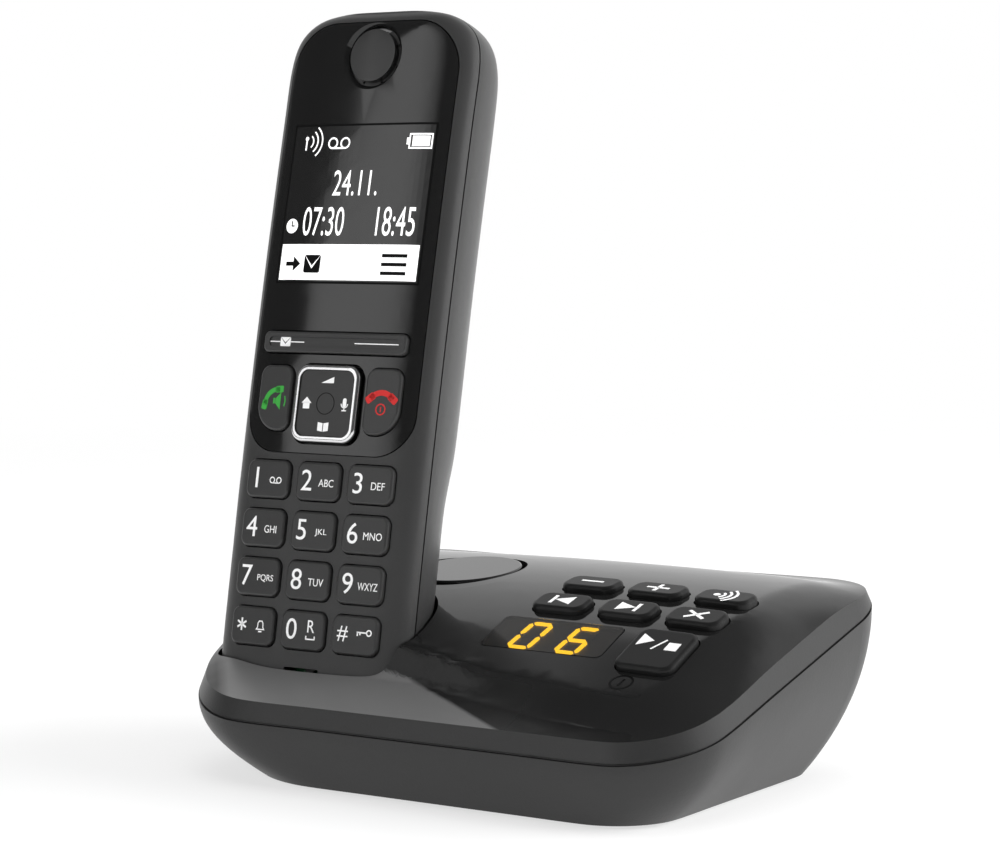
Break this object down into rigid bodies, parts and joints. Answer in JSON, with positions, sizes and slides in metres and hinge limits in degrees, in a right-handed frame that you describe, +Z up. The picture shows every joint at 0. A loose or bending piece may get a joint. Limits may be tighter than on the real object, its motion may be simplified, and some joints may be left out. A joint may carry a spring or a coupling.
{
  "type": "answering machine",
  "caption": "Cordless telephone answering machine: a wedge-shaped base with buttons, digit display and loudspeaker, and a handset standing in its cradle.",
  "frame": {"origin": "on the resting plane, below the centre of the whole object's bounding box", "axes": "+Z up, -Y the front where the lower edge of the base is, +X to the right, the handset stands on the left"},
  "size_m": [0.1328, 0.0956, 0.1613],
  "materials": {
    "satin_black": "fine satin moulding",
    "gloss_black": "piano gloss",
    "key_black": "soft satin",
    "bright_trim": "polished plating",
    "board_green": "solder mask",
    "white_plastic": "plain moulding",
    "amber": "lit segment",
    "steel": "plain steel",
    "paper_cone": "pressed paper",
    "socket_plastic": "plain moulding",
    "contact_metal": "plated spring",
    "soft_rubber": "moulded rubber"
  },
  "bodies": {
    "base": {"base_lower_housing": "satin_black", "base_top_cover": "gloss_black", "base_circuit_board": "board_green", "base_switches": "white_plastic", "display_window": "gloss_black", "digit_block": "white_plastic", "digit_bars": "amber", "loudspeaker_frame": "steel", "loudspeaker_cone": "paper_cone", "speaker_cap": "gloss_black", "line_socket": "socket_plastic", "power_socket": "socket_plastic", "cradle_contacts": "contact_metal", "housing_screws": "steel", "rubber_feet": "soft_rubber"},
    "handset": {"handset_front_shell": "satin_black", "handset_face_panel": "gloss_black", "handset_back_shell": "satin_black", "earpiece_disc": "gloss_black", "earpiece_receiver": "steel", "handset_circuit_board": "board_green", "key_dome_sheet": "soft_rubber", "handset_display": "white_plastic", "battery_cells": "steel", "microphone": "white_plastic", "ringer_speaker": "steel", "charging_pads": "contact_metal"},
    "battery_lid": {"battery_lid": "satin_black"},
    "softkey_bar": {"softkey_bar": "key_black"},
    "key_1": {"key_1": "key_black"},
    "key_2": {"key_2": "key_black"},
    "key_3": {"key_3": "key_black"},
    "key_4": {"key_4": "key_black"},
    "key_5": {"key_5": "key_black"},
    "key_6": {"key_6": "key_black"},
    "key_7": {"key_7": "key_black"},
    "key_8": {"key_8": "key_black"},
    "key_9": {"key_9": "key_black"},
    "key_star": {"key_star": "key_black"},
    "key_0": {"key_0": "key_black"},
    "key_hash": {"key_hash": "key_black"},
    "talk_key": {"talk_key": "key_black"},
    "end_key": {"end_key": "key_black"},
    "button_previous": {"button_previous": "key_black"},
    "button_next": {"button_next": "key_black"},
    "button_delete": {"button_delete": "key_black"},
    "button_minus": {"button_minus": "key_black"},
    "button_plus": {"button_plus": "key_black"},
    "button_page": {"button_page": "key_black"},
    "button_play": {"button_play": "key_black"},
    "nav_tilt": {"nav_pad": "key_black", "nav_frame": "bright_trim"},
    "nav_side": {"nav_post": "steel"}
  },
  "joints": [
    {"name": "handset_lift", "type": "slide", "parent": "base", "child": "handset", "axis": [0, 0.2011, 0.9796], "range_m": [0, 0.06]},
    {"name": "battery_lid_pull", "type": "slide", "parent": "handset", "child": "battery_lid", "axis": [0, 0.9796, -0.2011], "range_m": [0, 0.02]},
    {"name": "key_1_press", "type": "slide", "parent": "handset", "child": "key_1", "axis": [0.0309, 0.9818, -0.1873], "range_m": [0, 0.0005], "stiffness_N_per_m": 400, "springref_m": -0.0006},
    {"name": "key_2_press", "type": "slide", "parent": "handset", "child": "key_2", "axis": [0, 0.9823, -0.1874], "range_m": [0, 0.0005], "stiffness_N_per_m": 400, "springref_m": -0.0006},
    {"name": "key_3_press", "type": "slide", "parent": "handset", "child": "key_3", "axis": [-0.0309, 0.9818, -0.1873], "range_m": [0, 0.0005], "stiffness_N_per_m": 400, "springref_m": -0.0006},
    {"name": "key_4_press", "type": "slide", "parent": "handset", "child": "key_4", "axis": [0.0309, 0.9828, -0.1819], "range_m": [0, 0.0005], "stiffness_N_per_m": 400, "springref_m": -0.0006},
    {"name": "key_5_press", "type": "slide", "parent": "handset", "child": "key_5", "axis": [0, 0.9833, -0.182], "range_m": [0, 0.0005], "stiffness_N_per_m": 400, "springref_m": -0.0006},
    {"name": "key_6_press", "type": "slide", "parent": "handset", "child": "key_6", "axis": [-0.0309, 0.9828, -0.1819], "range_m": [0, 0.0005], "stiffness_N_per_m": 400, "springref_m": -0.0006},
    {"name": "key_7_press", "type": "slide", "parent": "handset", "child": "key_7", "axis": [0.0309, 0.9838, -0.1765], "range_m": [0, 0.0005], "stiffness_N_per_m": 400, "springref_m": -0.0006},
    {"name": "key_8_press", "type": "slide", "parent": "handset", "child": "key_8", "axis": [0, 0.9843, -0.1765], "range_m": [0, 0.0005], "stiffness_N_per_m": 400, "springref_m": -0.0006},
    {"name": "key_9_press", "type": "slide", "parent": "handset", "child": "key_9", "axis": [-0.0309, 0.9838, -0.1765], "range_m": [0, 0.0005], "stiffness_N_per_m": 400, "springref_m": -0.0006},
    {"name": "key_star_press", "type": "slide", "parent": "handset", "child": "key_star", "axis": [0.0309, 0.9848, -0.171], "range_m": [0, 0.0005], "stiffness_N_per_m": 400, "springref_m": -0.0006},
    {"name": "key_0_press", "type": "slide", "parent": "handset", "child": "key_0", "axis": [0, 0.9853, -0.1711], "range_m": [0, 0.0005], "stiffness_N_per_m": 400, "springref_m": -0.0006},
    {"name": "key_hash_press", "type": "slide", "parent": "handset", "child": "key_hash", "axis": [-0.0309, 0.9848, -0.171], "range_m": [0, 0.0005], "stiffness_N_per_m": 400, "springref_m": -0.0006},
    {"name": "talk_key_press", "type": "slide", "parent": "handset", "child": "talk_key", "axis": [0.0409, 0.9797, -0.1963], "range_m": [0, 0.0005], "stiffness_N_per_m": 400, "springref_m": -0.0006},
    {"name": "end_key_press", "type": "slide", "parent": "handset", "child": "end_key", "axis": [-0.0409, 0.9797, -0.1963], "range_m": [0, 0.0005], "stiffness_N_per_m": 400, "springref_m": -0.0006},
    {"name": "button_previous_press", "type": "slide", "parent": "base", "child": "button_previous", "axis": [-0.01, 0.2918, -0.9564], "range_m": [0, 0.0008], "stiffness_N_per_m": 400, "springref_m": -0.0008},
    {"name": "button_next_press", "type": "slide", "parent": "base", "child": "button_next", "axis": [-0.02, 0.2918, -0.9563], "range_m": [0, 0.0008], "stiffness_N_per_m": 400, "springref_m": -0.0008},
    {"name": "button_delete_press", "type": "slide", "parent": "base", "child": "button_delete", "axis": [-0.03, 0.2917, -0.956], "range_m": [0, 0.0008], "stiffness_N_per_m": 400, "springref_m": -0.0008},
    {"name": "button_minus_press", "type": "slide", "parent": "base", "child": "button_minus", "axis": [-0.0106, 0.1704, -0.9853], "range_m": [0, 0.0008], "stiffness_N_per_m": 400, "springref_m": -0.0008},
    {"name": "button_plus_press", "type": "slide", "parent": "base", "child": "button_plus", "axis": [-0.0209, 0.1704, -0.9852], "range_m": [0, 0.0008], "stiffness_N_per_m": 400, "springref_m": -0.0008},
    {"name": "button_page_press", "type": "slide", "parent": "base", "child": "button_page", "axis": [-0.0311, 0.1703, -0.9849], "range_m": [0, 0.0008], "stiffness_N_per_m": 400, "springref_m": -0.0008},
    {"name": "button_play_press", "type": "slide", "parent": "base", "child": "button_play", "axis": [-0.0276, 0.4113, -0.9111], "range_m": [0, 0.0008], "stiffness_N_per_m": 400, "springref_m": -0.0008},
    {"name": "softkey_rock", "type": "hinge", "parent": "handset", "child": "softkey_bar", "pos_m": [-0.0353, -0.01409, 0.0896], "axis": [0, 0.2027, 0.9792], "range_deg": [-1.2, 1.2], "stiffness_Nm_per_rad": 0.05},
    {"name": "nav_side_rock", "type": "hinge", "parent": "handset", "child": "nav_side", "pos_m": [-0.0353, -0.01768, 0.07698], "axis": [0, 0.196, 0.9806], "range_deg": [-2.5, 2.5], "stiffness_Nm_per_rad": 0.04},
    {"name": "nav_end_rock", "type": "hinge", "parent": "nav_side", "child": "nav_tilt", "pos_m": [-0.0353, -0.01768, 0.07698], "axis": [1, 0, 0], "range_deg": [-2.5, 2.5], "stiffness_Nm_per_rad": 0.04}
  ]
}
